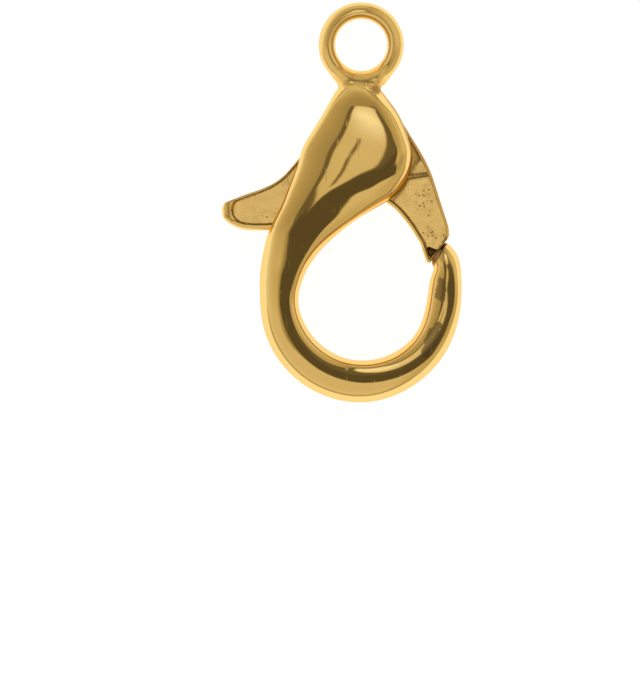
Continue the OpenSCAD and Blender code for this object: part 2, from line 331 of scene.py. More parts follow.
def casting_rows():
    """Rows in millimetres: x, y, turn, w, top, mid, low, band, then crest and flank, as the two tables say."""
    up, side, turn, w, top, mid, low, band, crest, flank = HEAD.T
    head = np.column_stack([side * HEAD_W, up * RING_UP, turn, w * HEAD_W, top * HEAD_H,
                            WIRE_H / 2 + (SLOT_Z - WIRE_H / 2) * mid, low * SLOT_Z, band * SLOT_HALF, crest,
                            flank])
    at, r, lean, w, top, mid, low, crest, flank = HOOK.T
    away = np.radians(at)
    hook = np.column_stack([r * HOOK_R * np.cos(away), r * HOOK_R * np.sin(away), at - 180 + lean, w * WIRE_W,
                            top * WIRE_H, WIRE_H / 2 + (SLOT_Z - WIRE_H / 2) * mid, low * SLOT_Z,
                            np.full(len(at), HOOK_BAND * SLOT_HALF), crest, flank])
    return np.concatenate([head, hook])


def lever_low():
    """Lowest edge of the thumb tab, from the pivot."""
    return (TAB[:, 1] * TAB_REACH - TAB[:, 3] * TAB_W / 2).min()


# Step along the casting, points across its parts, and how often the table's sizes are averaged along it
STATION = 0.07
SOFTER = 30
ARC_POINTS = 72
SIDE_POINTS = 5
SLOT_COLUMNS = 14
EDGE_POINTS = 7
# How far from its ends the slot's edge rounding has grown full, and how far past them the upright sides change
EDGE_GROWS, SIDES_CHANGE = 0.35, 1.6
# The angle at which a section's front and back leave its upright sides where there is no slot
PLAIN_START = 0.2
# How sharply the crest bends in, less is sharper
CREST_SOFT = 0.3


def across(u, crest):
    """Place across a section, from -1 at its outer to 1 at its inner edge, where the crest (u = 0) lies off the
    middle. It is u plus crest times (1 - g), where g is a rounded |u|, 0 in the middle and 1 at both edges."""
    soft = CREST_SOFT
    g = (np.sqrt(u * u + soft * soft) - soft) / (math.hypot(1, soft) - soft)
    return u + crest * (1 - g)


def stand(rows, x, z):
    """Sections upright on their middles: x runs from the outer to the inner edge, z is up."""
    turn = np.radians(rows[:, 2])[:, None]
    return np.stack([rows[:, 0:1] + x * np.cos(turn), rows[:, 1:2] + x * np.sin(turn), z + 0 * x], -1)


def make_casting():
    """The head and hook as sections carried along their middle line. A section's front is the curve
    |x|^FULL + |z|^FULL = 1 over an upright side, and its back the same curve below. Where the slot is, front
    and back are two shells with rounded edges and a flat inside."""
    table = casting_rows()
    knots = reach_along(table[:, :2])
    at = np.linspace(0, knots[-1], int(knots[-1] / STATION))
    rows = np.column_stack([spline(knots, table[:, :2], at), steady(knots, table[:, 2:], at, SOFTER)])

    # The slot ends where a section clears the boss above, and the tab's lower edge below
    turn = np.radians(rows[:, 2])
    clear = (rows[:, 0] - PIVOT_SIDE) * -np.sin(turn) + (rows[:, 1] - PIVOT_UP) * np.cos(turn)
    first = np.nonzero(clear > BOSS_R + RUN_GAP * 0.8)[0][-1]
    outer_y = rows[:, 1] - np.sin(turn) * rows[:, 3] / 2
    last = np.nonzero(outer_y < PIVOT_UP + lever_low() - RUN_GAP)[0][0]
    inside = np.minimum(at - at[first], at[last] - at)
    edge = SHELL_EDGE * ease(inside / EDGE_GROWS)
    fade = ease(1 + inside / SIDES_CHANGE)

    def arc(face):
        """The front or back curve, from inner to outer edge, and its two angles off the upright sides."""
        mid, band = rows[:, 5], rows[:, 7]
        reach = np.where(face > 0, rows[:, 4] - mid, mid - rows[:, 6])
        lift = SLOT_HALF + edge + face * (SLOT_Z - mid) - band
        share = np.clip(lift / (reach - band), 0, 0.8)
        ends = [np.arcsin(share ** (power / 2)) for power in (rows[:, 9] if face > 0 else FULL, FULL)]
        inner, outer = [np.where(inside < 0, PLAIN_START + (start - PLAIN_START) * fade, start)[:, None]
                        for start in ends]
        a = inner + (np.pi - inner - outer) * np.linspace(0, 1, ARC_POINTS)
        return curve_at(a, face), inner, outer

    def curve_at(a, face):
        power = np.where((np.cos(a) > 0) & (face > 0), rows[:, 9:10], FULL)
        u, v = sharp(np.cos(a), 2 / power), sharp(np.sin(a), 2 / power)
        reach = np.where(face > 0, rows[:, 4] - rows[:, 5], rows[:, 5] - rows[:, 6])[:, None]
        band = rows[:, 7:8]
        x = across(u, rows[:, 8:9]) * rows[:, 3:4] / 2
        return stand(rows, x, rows[:, 5:6] + face * (band + v * (reach - band)))

    front, front_inner, front_outer = arc(1)
    back, back_inner, back_outer = arc(-1)
    down = np.linspace(1, 0, SIDE_POINTS)
    up = down[::-1]
    inner = np.concatenate([curve_at(front_inner * down, 1), curve_at(back_inner * up, -1)], 1)
    outer = np.concatenate([curve_at(np.pi - front_outer * down, 1), curve_at(np.pi - back_outer * up, -1)], 1)

    def shell_inside(shell, face):
        """Rounded edge, flat inside and rounded edge that close one shell over the slot."""
        z = SLOT_Z + face * SLOT_HALF
        width = shell[:, 0] - shell[:, -1]
        run = width / np.linalg.norm(width[:, :2], axis=1)[:, None]
        a = np.linspace(0, np.pi / 2, EDGE_POINTS)
        e = edge[:, None, None]
        drop = np.array([0, 0, -face]) * np.sin(a)[:, None]
        step = (1 - np.cos(a))[None, :, None]
        right = shell[:, :1] - run[:, None] * e * step + e * drop
        left = shell[:, -1:] + run[:, None] * e * step + e * drop
        t = np.linspace(0, 1, SLOT_COLUMNS)[None, :, None]
        flat = right[:, -1:] + (left[:, -1:] - right[:, -1:]) * t
        flat[..., 2] = z
        right[:, -1, 2] = left[:, -1, 2] = z
        return right, flat, left

    top, slot, tail = slice(0, first + 1), slice(first, last + 1), slice(last, len(at))
    sheets = [front, back]
    sheets += [side[span] for side in (inner, outer) for span in (top, tail)]
    for shell, face in ((front, 1), (back, -1)):
        sheets += [part[slot] for part in shell_inside(shell, face)]
    t = np.linspace(0, 1, SLOT_COLUMNS)[None, :, None]
    for end in (first, last):
        sheets.append(inner[end][:, None] + (outer[end] - inner[end])[:, None] * t)

    # The tip's rounded end: sections that shrink by 1 - cos while they go on by sin
    loop = np.concatenate([front, outer, back[:, ::-1], inner[:, ::-1]], 1)
    a = np.linspace(0, np.pi / 2, EDGE_POINTS)[:, None, None]
    middle = loop[-1].mean(0)
    onward = middle - loop[-2].mean(0)
    onward /= np.linalg.norm(onward)
    inward = middle - loop[-1]
    inward /= np.linalg.norm(inward, axis=1)[:, None]
    under = 1 - ease((loop[-1][:, 2:] - SLOT_Z + 0.5) / 0.8)
    nose = loop[-1] + TIP_EDGE * (1 - np.cos(a)) * inward + TIP_SWELL * np.sin(a) * under * onward
    sheets.append(np.concatenate([nose, nose[:, :1]], 1))
    return weld_sheets("casting", sheets, [loop[0], nose[-1]])


# Where the ring's outline leaves its circle for the neck, measured from straight down, and how far that goes on
NECK_FROM = math.radians(53)
NECK_SPAN = math.radians(27)
# The ring's highest line, share of the way in from its outer edge, and the exponents of its slopes
RING_CREST = 0.56
RING_OUTER, RING_INNER, RING_BACK = 1.5, 1.35, 2
# How much thicker the ring gets where it meets the neck, share of its thickness, and the angles from straight
# down where that starts and over which it grows
NECK_THICKER = 0.45
THICKER_FROM, THICKER_SPAN = math.radians(52), math.radians(26)


def make_ring():
    """The ring: a section carried round its centre, cut straight where it would enter the hole. From its crest
    line it falls to the outer edge as |x|^RING_OUTER + |z|^RING_OUTER = 1, and to the inner edge the same with
    RING_INNER, which leaves a fine ridge. Towards the neck its outer edge follows the two lines that touch the
    circle at NECK_FROM, so r = R / cos(angle past that point)."""
    turn = np.linspace(0, 2 * np.pi, 241)[:, None]
    a = np.linspace(0, 2 * np.pi, 97)[None]
    from_down = np.abs(np.angle(np.exp(1j * (turn + np.pi / 2))))
    outer = (RING_R + RING_WIRE) / np.cos(np.clip(NECK_FROM - from_down, 0, NECK_SPAN))
    inner = RING_MID_R - RING_TUBE
    crest = outer - (outer - inner) * RING_CREST
    out = np.cos(a) > 0
    power = np.where(out, RING_OUTER, RING_INNER)
    power = np.where(np.sin(a) < 0, RING_BACK, power)
    u, v = sharp(np.cos(a), 2 / power), sharp(np.sin(a), 2 / power)
    r = np.maximum(crest + np.where(out, outer - crest, crest - inner) * u, RING_R)
    tube = RING_TUBE * (1 + NECK_THICKER * ease((THICKER_FROM - from_down) / THICKER_SPAN))
    places = np.stack([r * np.cos(turn), RING_UP + r * np.sin(turn), SLOT_Z + tube * v], -1)
    ring = weld_sheets("ring", [places])
    mark(ring, 1)
    return ring


def mark(piece, number):
    """Gives all faces of a piece one of two material slots, which a boolean keeps."""
    for k in range(2):
        piece.data.materials.append(bpy.data.materials.get(f"mark_{k}") or bpy.data.materials.new(f"mark_{k}"))
    piece.data.polygons.foreach_set("material_index", np.full(len(piece.data.polygons), number))


def soften_neck(mesh, reach, turns):
    """Rounds the corner where ring and head meet: points near the meeting line move to the middle of their
    neighbours, again and again, the less the further they are from that line and the nearer to the clasp's
    middle line."""
    places = places_of(mesh)
    edges = np.empty(len(mesh.edges) * 2, int)
    mesh.edges.foreach_get("vertices", edges)
    a, b = edges.reshape(-1, 2).T
    bm = bmesh.new()
    bm.from_mesh(mesh)
    meets = [len({face.material_index for face in edge.link_faces}) > 1 for edge in bm.edges]
    bm.free()
    mesh.polygons.foreach_set("material_index", np.zeros(len(mesh.polygons), int))
    line = places[a[np.array(meets)]]
    near = np.nonzero((places[:, 1] > RING_UP - RING_R - 2.6) & (places[:, 1] < RING_UP - 1))[0]
    gap = np.min(np.linalg.norm(places[near, None] - line[None], axis=2), axis=1)
    weight = np.zeros(len(places))
    off_middle = ease((np.abs(places[near, 0] + 0.1) - 0.15) / 0.5)
    weight[near] = 0.8 * ease(1.25 - gap / reach) * (0.15 + 0.85 * off_middle)
    count = np.bincount(a, minlength=len(places)) + np.bincount(b, minlength=len(places))
    for _ in range(turns):
        total = np.stack([np.bincount(a, places[b, k], len(places)) + np.bincount(b, places[a, k], len(places))
                          for k in range(3)], 1)
        places += weight[:, None] * (total / count[:, None] - places)
    put_places(mesh, places)


body = make_casting()
mark(body, 0)
cut_or_join(body, make_ring(), "UNION")
soften_neck(body.data, 0.4, 50)
pin_at = np.array([PIVOT_SIDE, PIVOT_UP])
bore = drum("bore", PIN_D / 2 + PIN_GAP, -PIN_SINK, HEAD_H - PIN_SKIN + PIN_GAP, pin_at)
cut_or_join(body, bore, "DIFFERENCE")
smooth_faces(body, HARD_CORNER)


# The lever: thumb tab, boss and gate

# Recesses: depth in their middle, at least and at most, and where the middles are
FLOOR_MID, FLOOR_LEAST, FLOOR_MOST = 0.3, 0.04, 0.62
GATE_MID, TAB_MID = (4.0, 5.2), (-6.4, 5.0)
# How much deeper the recesses' floors get for each millimetre to the right and upwards
FLOOR_FALL = (-0.07, 0.1)
# Width of the recesses' walls, and width of the rim beside each edge
STEP = 0.05
GATE_RIM = {"inner": 0.25, "outer": 0.12, "end": 0.18}
TAB_RIM = {"inner": 0.36, "outer": 0.03}
# The round end of the tab's recess: its centre and radius
TAB_TIP, TAB_TIP_R = (-6.66, 5.12), 0.78
# Radius of the rounded edges of the gate and of the tab, and of the gate's end
GATE_EDGE = {"inner": 0.20, "outer": 0.16}
TAB_EDGE = {"inner": 0.36, "outer": 0.10}
END_EDGE = 0.12
# Rounding of the gate's end seen from the front
END_ROUND = 0.26
# Height over the hook's centre above which the gate's recess is shallower, and the share of its depth left
GATE_CREASE, CREASE_SHARE = 7.05, 0.86
# The deep pocket in the gate's end: how far it reaches from the end and from the inner edge, and its depth
POCKET_LONG, POCKET_WIDE, POCKET_DEEP = 0.68, 1.0, 0.5
# Points across the strip beside each edge and across the floor between, and the width of those strips
EDGE_COLUMNS = 22
FLOOR_COLUMNS = 26
EDGE_STRIP = 0.62


def lever_rows():
    """Rows in millimetres from the hook's centre: x, y, turn, w, thick, dish."""
    tip = casting_rows()[-1]
    onward = np.radians(tip[2] - 90)
    gate_end = tip[:2] + TIP_GAP * np.array([np.cos(onward), np.sin(onward)]) - pin_at
    length, way = math.hypot(*gate_end), math.atan2(gate_end[1], gate_end[0])
    along, off, turn, w, thick, dish = GATE.T
    gate = np.column_stack([pin_at[0] + length * (along * math.cos(way) - off * math.sin(way)),
                            pin_at[1] + length * (along * math.sin(way) + off * math.cos(way)),
                            math.degrees(way) + turn, w * GATE_W, thick * LEVER_T, dish])
    x, y, turn, w = BOSS.T
    boss = np.column_stack([pin_at[0] + x * BOSS_R, pin_at[1] + y * BOSS_R, turn, w * BOSS_R,
                            np.full(len(x), LEVER_T), np.zeros(len(x))])
    x, y, turn, w, thick, dish = TAB.T
    tab = np.column_stack([pin_at[0] + x * TAB_REACH, pin_at[1] + y * TAB_REACH, turn, w * TAB_W,
                           thick * LEVER_T, dish])
    return np.concatenate([gate, boss, tab])


def nearest(places, line):
    """Distance in plan from each place of a grid to the nearest point of a dense run of points."""
    flat = places[..., :2].reshape(-1, 2)
    parts = [np.linalg.norm(part[:, None] - line[None, :, :2], axis=2).min(1)
             for part in np.array_split(flat, len(flat) // 500 + 1)]
    return np.concatenate(parts).reshape(places.shape[:-1])


def make_lever():
    """The lever as sections carried from the gate's end to the tab's tip, alike on both faces. Its recess is a
    depth that depends on how far a place lies from the inner and the outer edge and from the gate's end:
    nothing on the rim, and inside it a floor that slopes by FLOOR_FALL."""
    table = lever_rows()
    knots = reach_along(table[:, :2])
    gate_long, tab_from = knots[len(GATE) - 1], knots[len(GATE) + len(BOSS)]
    tips, last = 1.2, knots[-1]
    at = np.concatenate([np.arange(0, tips, 0.025), np.arange(tips, gate_long, 0.06),
                         np.arange(gate_long, tab_from, 0.12), np.arange(tab_from, last - tips, 0.06),
                         np.linspace(last - tips, last, 50)])
    rows = np.column_stack([spline(knots, table[:, :2], at), steady(knots, table[:, 2:], at, 2)])
    on_gate = ease(1 - (at - gate_long) / 1.0)[:, None]
    half_w, half_t = rows[:, 3:4] / 2, rows[:, 4:5] / 2
    for radius, half in ((END_ROUND, half_w), (END_EDGE, half_t)):
        half -= radius * (1 - np.sqrt(1 - np.clip(1 - at / radius, 0, 1) ** 2))[:, None]

    def edge(side):
        wanted = GATE_EDGE[side] * on_gate + TAB_EDGE[side] * (1 - on_gate)
        return np.minimum(wanted, np.minimum(half_w * 0.45, half_t * 0.8))

    in_edge, out_edge = edge("inner"), edge("outer")
    near = np.linspace(0, 1, EDGE_COLUMNS)
    strip = np.minimum(EDGE_STRIP, half_w * 0.9)
    near_in = in_edge + (strip - in_edge) * near
    near_out = out_edge + (strip - out_edge) * near
    between = np.linspace(0, 1, FLOOR_COLUMNS)[1:-1]
    low, high = half_w - near_in[:, -1:], -half_w + near_out[:, -1:]
    x = np.concatenate([half_w - near_in, low + (high - low) * between, (-half_w + near_out)[:, ::-1]], 1)

    face = stand(rows, x, np.zeros_like(x))
    from_inner = nearest(face, stand(rows, half_w, 0 * half_w)[:, 0])
    from_outer = nearest(face, stand(rows, -half_w, 0 * half_w)[:, 0])
    from_end = at[:, None] + 0 * x
    rim = {side: GATE_RIM[side] * on_gate + TAB_RIM[side] * (1 - on_gate) for side in ("inner", "outer")}
    inside = ease((from_inner - rim["inner"]) / STEP) * ease((from_outer - rim["outer"]) / STEP)
    inside = inside * ease((from_end - GATE_RIM["end"]) / STEP)
    off_tip = face[..., :2] - TAB_TIP
    round_end = ease((TAB_TIP_R - np.linalg.norm(off_tip, axis=-1)) / (STEP * 2))
    inside = inside * np.where(off_tip[..., 0] < 0, round_end, 1)
    past_crease = ease((face[..., 1] - GATE_CREASE + 0.15 * from_outer) / 0.3) * on_gate
    inside = inside * (1 - (1 - CREASE_SHARE) * past_crease)
    inside = inside * rows[:, 5:6]
    middle = np.where(on_gate > 0.5, GATE_MID, TAB_MID)
    fall = (face[..., :2] - middle[:, None]) @ np.array(FLOOR_FALL)
    floor = np.clip(FLOOR_MID + fall, FLOOR_LEAST, FLOOR_MOST)
    reach_in = POCKET_WIDE - from_end * 0.9
    pocket = ease((POCKET_LONG - from_end) / 0.1) * ease((reach_in - from_inner) / 0.1) * on_gate
    depth = inside * (floor + POCKET_DEEP * pocket)
    face_z = half_t - np.minimum(depth, half_t * 0.9)

    a = np.linspace(0, np.pi / 2, EDGE_POINTS)[None]

    def rounding(e):
        return half_w - e * (1 - np.cos(a)), half_t - e * (1 - np.sin(a))

    in_x, in_z = rounding(in_edge)
    out_x, out_z = rounding(out_edge)
    loop_x = np.concatenate([x, -out_x[:, ::-1], -out_x, x[:, ::-1], in_x[:, ::-1], in_x], 1)
    loop_z = np.concatenate([face_z, out_z[:, ::-1], -out_z, -face_z[:, ::-1], -in_z[:, ::-1], in_z], 1)
    loop = stand(rows, loop_x, SLOT_Z + loop_z)
    back = loop[20].mean(0) - loop[0].mean(0)
    slant = END_SLANT * ease(1 - at[:, None, None] / 0.45) * ease((0.45 - loop_z[..., None]) / 0.9)
    loop = loop + slant * back / np.linalg.norm(back)
    loop = np.concatenate([loop, loop[:, :1]], 1)
    return weld_sheets("lever_arm", [loop], [loop[0, :-1], loop[-1, :-1]])


lever = make_lever()
cut_or_join(lever, drum("lever_bore", PIN_D / 2 + TURN_GAP, 0, 2 * SLOT_Z, pin_at), "DIFFERENCE")
smooth_faces(lever, HARD_CORNER)


# The pivot pin, its lower end showing in the back of the head

def make_pin():
    """A turned pin: a profile of radius and height, with rounded ends, carried round its axis."""
    r, low, high, e = PIN_D / 2, PIN_SINK, HEAD_H - PIN_SKIN, 0.08
    a = np.linspace(0, np.pi / 2, EDGE_POINTS)
    radius = np.concatenate([[0.001], r - e * (1 - np.sin(a)), r - e * (1 - np.cos(a)), [0.001]])
    height = np.concatenate([[low], low + e * (1 - np.cos(a)), high - e * (1 - np.sin(a)), [high]])
    turn = np.linspace(0, 2 * np.pi, 65)[:, None]
    x, y = pin_at[0] + radius * np.cos(turn), pin_at[1] + radius * np.sin(turn)
    places = np.stack([x, y, height + 0 * turn], -1)
    return weld_sheets("pin", [places], [places[:-1, 0], places[:-1, -1]])


pin = make_pin()
smooth_faces(pin, HARD_CORNER)


# Materials

class Socket:
    """A node's output, so that shader maths can be written as Python."""

    def __init__(self, tree, link):
        self.tree, self.link = tree, link

    def math(self, operation, *values):
        return node(self.tree, "ShaderNodeMath", {"operation": operation}, values)

    def __add__(self, other):
        return self.math("ADD", self, other)

    def __sub__(self, other):
        return self.math("SUBTRACT", self, other)

    def __mul__(self, other):
        return self.math("MULTIPLY", self, other)

    def __truediv__(self, other):
        return self.math("DIVIDE", self, other)

    def __pow__(self, other):
        return self.math("POWER", self, other)

    def __radd__(self, other):
        return self.math("ADD", other, self)

    def __rsub__(self, other):
        return self.math("SUBTRACT", other, self)

    def __rmul__(self, other):
        return self.math("MULTIPLY", other, self)

    def least(self, other):
        return self.math("MINIMUM", self, other)

    def most(self, other):
        return self.math("MAXIMUM", self, other)

    def size(self):
        return self.math("ABSOLUTE", self)

    def exp(self):
        return self.math("EXPONENT", self)

    def steps(self, low, high):
        """0 below low, 1 above high and a smooth rise between."""
        return node(self.tree, "ShaderNodeMapRange", {"interpolation_type": "SMOOTHSTEP"},
                    {"Value": self, "From Min": low, "From Max": high})


def node(tree, kind, settings=None, values=(), output=0):
    """Adds one node: its settings first, then the values or links of its sockets. Returns an output."""
    made = tree.nodes.new(kind)
    for name, value in (settings or {}).items():
        setattr(made, name, value)
    named = values.items() if isinstance(values, dict) else enumerate(values)
    for name, value in named:
        socket = made.inputs[name]
        if isinstance(value, Socket):
            tree.links.new(value.link, socket)
        else:
            socket.default_value = value
    return Socket(tree, made.outputs[output])


def blend(tree, factor, low, high):
    """Mixes two colours: low where the factor is 0, high where it is 1."""
    values = {"Factor_Float": factor, "A_Color": low, "B_Color": high}
    values = {name: value if isinstance(value, Socket) else (*value, 1) if name != "Factor_Float" else value
              for name, value in values.items()}
    made = tree.nodes.new("ShaderNodeMix")
    made.data_type = "RGBA"
    by_name = {socket.identifier: socket for socket in made.inputs}
    for name, value in values.items():
        if isinstance(value, Socket):
            tree.links.new(value.link, by_name[name])
        else:
            by_name[name].default_value = value
    return Socket(tree, next(socket for socket in made.outputs if socket.identifier == "Result_Color"))


# Plating as it faces up, on upright sides where a paler tint is painted to offset the orange of light mirrored
# between the parts, in the rough recesses, in their mottles and pits, and the dark gold of painted shade and dark
# reflections
GOLD = (0.96, 0.645, 0.2)
PAINTED_SIDE_GOLD = (0.965, 0.67, 0.24)
CAST_GOLD = (1.0, 0.655, 0.2)
MOTTLE_GOLD = (0.72, 0.46, 0.14)
PIT_GOLD = (0.55, 0.33, 0.1)
PAINTED_DARK_GOLD = (0.2, 0.12, 0.04)
# What the plating's mirror keeps of the light where it is seen along the surface
EDGE_TINT = (1.0, 0.84, 0.6)


def noise(tree, place, scale, detail):
    """Cloudy noise about 0.5, with `scale` patches for each metre."""
    return node(tree, "ShaderNodeTexNoise", values={"Vector": place, "Scale": scale, "Detail": detail})


def stretched(tree, place, turn, scale):
    """The place turned about the upright axis and scaled, for marks that run one way."""
    return node(tree, "ShaderNodeMapping", values={"Vector": place, "Rotation": (0, 0, math.radians(turn)),
                                                   "Scale": scale})


def scratches(tree, place):
    """Fine polishing marks: thin ridges of noise drawn out in three directions."""
    marks = 0
    for turn in (25, 80, 140):
        lines = noise(tree, stretched(tree, place, turn, (1, 0.045, 1)), 7000, 1)
        patch = noise(tree, place, 500 + turn, 1).steps(0.5, 0.62)
        marks = lines.steps(0.66, 0.76) * patch + marks
    return marks.least(1)


def pits(tree, place, scale, size, share):
    """Small round pits: the cells of a Voronoi texture near their points, in the given share of the cells."""
    near = node(tree, "ShaderNodeTexVoronoi", values={"Vector": place, "Scale": scale})
    kind = node(tree, "ShaderNodeTexVoronoi", values={"Vector": place, "Scale": scale}, output="Color")
    chosen = node(tree, "ShaderNodeSeparateColor", values=[kind])
    return (1 - near.steps(size * 0.3, size)) * chosen.steps(1 - share - 0.01, 1 - share)


def gold(name, masks):
    """Polished plating with faint scratches and pits. The masks say where it is rough cast gold, how much less
    even its polish is and where shade and dark reflections are painted on it."""
    material = bpy.data.materials.new(name)
    material.use_nodes = True
    tree = material.node_tree
    shader = tree.nodes["Principled BSDF"]
    shader.inputs["Metallic"].default_value = 1
    shader.inputs["Specular Tint"].default_value = (*EDGE_TINT, 1)
    place = node(tree, "ShaderNodeTexCoord", output="Object")
    cast, sheen, painted_dark = masks(tree, place)
    sides = 1 - facing_up(tree).steps(0.6, 0.8)

    grain = noise(tree, place, 9000, 3)
    mottle = noise(tree, place, 1300, 2)
    # Painted tint: upright sides get a paler, less orange gold that offsets the orange of light mirrored between
    # the parts
    colour = blend(tree, sides, GOLD, PAINTED_SIDE_GOLD)
    colour = blend(tree, cast, colour, CAST_GOLD)
    uneven = noise(tree, place, 700, 1).steps(0.4, 0.6)
    mottled = cast * uneven * noise(tree, place, 3200, 3).steps(0.48, 0.62)
    colour = blend(tree, mottled * 0.5, colour, MOTTLE_GOLD)
    hollow = pits(tree, place, 4200, 0.34, 0.4) * cast * uneven
    colour = blend(tree, hollow * 0.5, colour, PIT_GOLD)
    # Painted shade and dark reflections: the dark gold wherever the masks paint them
    colour = blend(tree, painted_dark, colour, PAINTED_DARK_GOLD)
    tree.links.new(colour.link, shader.inputs["Base Color"])

    # Rougher where the polish is uneven, scratched or dull, on upright sides, on cast floors and where shade is
    # painted
    marks = scratches(tree, place)
    rough = 0.035 + 0.03 * mottle + 0.16 * marks + sheen + sides * 0.07
    rough = rough + cast * (0.06 + 0.16 * mottle) + painted_dark * 0.25
    tree.links.new(rough.link, shader.inputs["Roughness"])

    # The surface waves broadly, and has fine marks, grain, mottles and pits
    wave = noise(tree, place, 420, 1) * 0.5 + noise(tree, place, 1500, 1) * 0.12
    fine = marks * -0.1 + grain * (0.02 + cast * 0.9) + cast * mottle * 0.7 - hollow * 1.8
    height = wave + fine - pits(tree, place, 2600, 0.15, 0.04) * 0.4
    bump = node(tree, "ShaderNodeBump", values={"Strength": 0.6, "Distance": 0.00001, "Height": height})
    tree.links.new(bump.link, shader.inputs["Normal"])
    return material


def facing_up(tree):
    """1 on faces that look straight up or down, 0 on upright ones."""
    normal = node(tree, "ShaderNodeNewGeometry", output="Normal")
    return node(tree, "ShaderNodeSeparateXYZ", values=[normal], output="Z").size()


def parts_of(tree, place):
    """The x, y and z of a place or a direction."""
    return [node(tree, "ShaderNodeSeparateXYZ", values=[place], output=k) for k in "XYZ"]


def from_hook(tree, place):
    """The three parts of a place in millimetres from the hook's centre."""
    return [part * (1 / MM) - start for part, start in zip(parts_of(tree, place), CENTRE)]


def distance(x, y, at):
    """Distance in plan between two places."""
    dx, dy = x - at[0], y - at[1]
    return (dx * dx + dy * dy) ** 0.5


# Patches of painted dark reflection, also rougher, on the inside of the hook near its tip: place from the hook's
# centre, and radius
PATCHES = [((4.6, 1.0), 0.26), ((4.56, 0.62), 0.36), ((4.5, 0.22), 0.34), ((4.42, -1.5), 0.3),
           ((4.25, -1.95), 0.42), ((4.02, -2.5), 0.5), ((3.7, -3.0), 0.32)]
# The two rough corners where the ring leaves the head, the middle between them and the corner to the right, which
# also gets painted shade
CORNERS = [(-1.06, RING_UP - 1.9), (0.85, RING_UP - 1.95)]
NECK_MID = (-0.1, RING_UP - 2.05)
RIGHT_CORNER = (0.86, 12.02)


def body_masks(tree, place):
    """Rough where the ring meets the head and less bright on the ring, with painted shade at the tip's end, along
    some edges and in a corner, and painted dark reflection in a few patches."""
    x, y, z = from_hook(tree, place)
    on_ring = y.steps(RING_UP - 2.75, RING_UP - 2.2)
    cast = 0
    for at in CORNERS:
        cast = (1 - distance(x, y, at).steps(0.35, 0.65)) + cast
    uneven = noise(tree, place, 1500, 2) * 1.6 + 0.2
    # Painted dark reflection in the patches, with uneven edges
    painted_dark = 0
    for at, radius in PATCHES:
        painted_dark = (1 - (distance(x, y, at) * uneven).steps(radius * 0.75, radius)) + painted_dark
    # Painted shade on the tip's end face, in the narrow gap under the gate's end
    row = casting_rows()[-1]
    ahead = math.radians(row[2] - 90)
    past = (x - row[0]) * math.cos(ahead) + (y - row[1]) * math.sin(ahead)
    near_tip = 1 - distance(x, y, row[:2]).steps(0.9, 1)
    painted_dark = (painted_dark * 0.7).least(0.7).most(past.steps(-0.14, -0.02) * near_tip * 0.85)

    # A line of painted shade runs along the edge that faces the hook's opening and round the ring's hole
    nx, ny, nz = parts_of(tree, node(tree, "ShaderNodeNewGeometry", output="Normal"))
    steep = nz.steps(0.62, 0.68) * (1 - nz.steps(0.72, 0.78))
    to_hook = nx * (0.5 - x) + ny * (1 - y)
    line = steep * to_hook.steps(0, 0.5) * (1 - on_ring)
    line = line * (0.28 + 0.3 * (x * -1).steps(0, 3.5))
    to_ring = nx * x * -1 + ny * (RING_UP - y)
    hole_shade = steep * to_ring.steps(0, 0.5) * y.steps(RING_UP - 1.4, RING_UP - 0.6)
    # So does one down the head's side, where it stands over the lever, and the right corner gets painted shade and
    # is rougher too
    beside_shade = (1 - nz.size().steps(0.3, 0.5)) * nx.steps(0, 0.3) * (1 - on_ring) * y.steps(4.5, 5.5)
    corner = 1 - distance(x, y, RIGHT_CORNER).steps(0.15, 0.4)
    neck = 1 - distance(x, y, NECK_MID).steps(0.3, 0.6)
    painted_shade = line.most(hole_shade * 0.45).most(beside_shade * 0.6).most(corner * 0.5)
    return cast, on_ring * 0.1 + neck * 0.15 + corner * 0.3, painted_dark.most(painted_shade)


# Middle of the thumb tab, and how far from it the gate's middle is
TAB_HEART = (-5.0, 5.0)
TO_GATE = (8.2, 0.5)
# Where shade is painted in the gate's pocket
POCKET_AT = (4.15, 2.95)


def lever_masks(tree, place):
    """Rough on the floors of the lever's recesses, which lie below its rims. Shade is painted on the walls that
    look to the middle of their recess, more on those that face towards the ring, and on the gate's pocket, and a
    little dark reflection is painted on the upper outlines."""
    x, y, z = from_hook(tree, place)
    depth = LEVER_T / 2 - (z - SLOT_Z).size()
    nx, ny, nz = parts_of(tree, node(tree, "ShaderNodeNewGeometry", output="Normal"))
    on_gate = x.steps(-0.001, 0.001)
    mid_x, mid_y = [on_gate * way + heart for way, heart in zip(TO_GATE, TAB_HEART)]
    inwards = nx * (mid_x - x) + ny * (mid_y - y)
    floor = depth.steps(0.015, 0.05) * nz.size().steps(0.6, 0.85)
    slopes = 1 - nz.size().steps(0.93, 0.98)
    # Painted shade on the recess walls, stronger where they face towards the ring
    shade_by_facing = (0.25 + 0.6 * (nx * 0.35 + ny).steps(-0.1, 0.45)) * slopes
    walls = inwards.steps(0.08, 0.2) * shade_by_facing * depth.steps(0.004, 0.02)
    # Painted dark reflection on the outward edges that face towards the ring
    outline_dark = (inwards * -1).steps(0.1, 0.3) * (nx * 0.3 + ny).steps(0.1, 0.4) * 0.55 * slopes
    # Painted shade in the gate's deep pocket
    pocket = depth.steps(0.4, 0.5) * (1 - distance(x, y, POCKET_AT).steps(0.75, 0.85))
    pocket = pocket * nz.size().steps(0.2, 0.5)
    return floor, 0.03, walls.most(pocket).most(outline_dark)


def pin_masks(tree, place):
    return 0.0, 0.05, 0.0


for piece, name, masks in ((body, "gold_body", body_masks), (lever, "gold_lever", lever_masks),
                           (pin, "gold_pin", pin_masks)):
    piece.data.materials.clear()
    piece.data.materials.append(gold(name, masks))

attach(body, "clasp")
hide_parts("body")
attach(lever, "lever")
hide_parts("lever")
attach(pin, "clasp")
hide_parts("pivot_pin")


# Table, light and camera

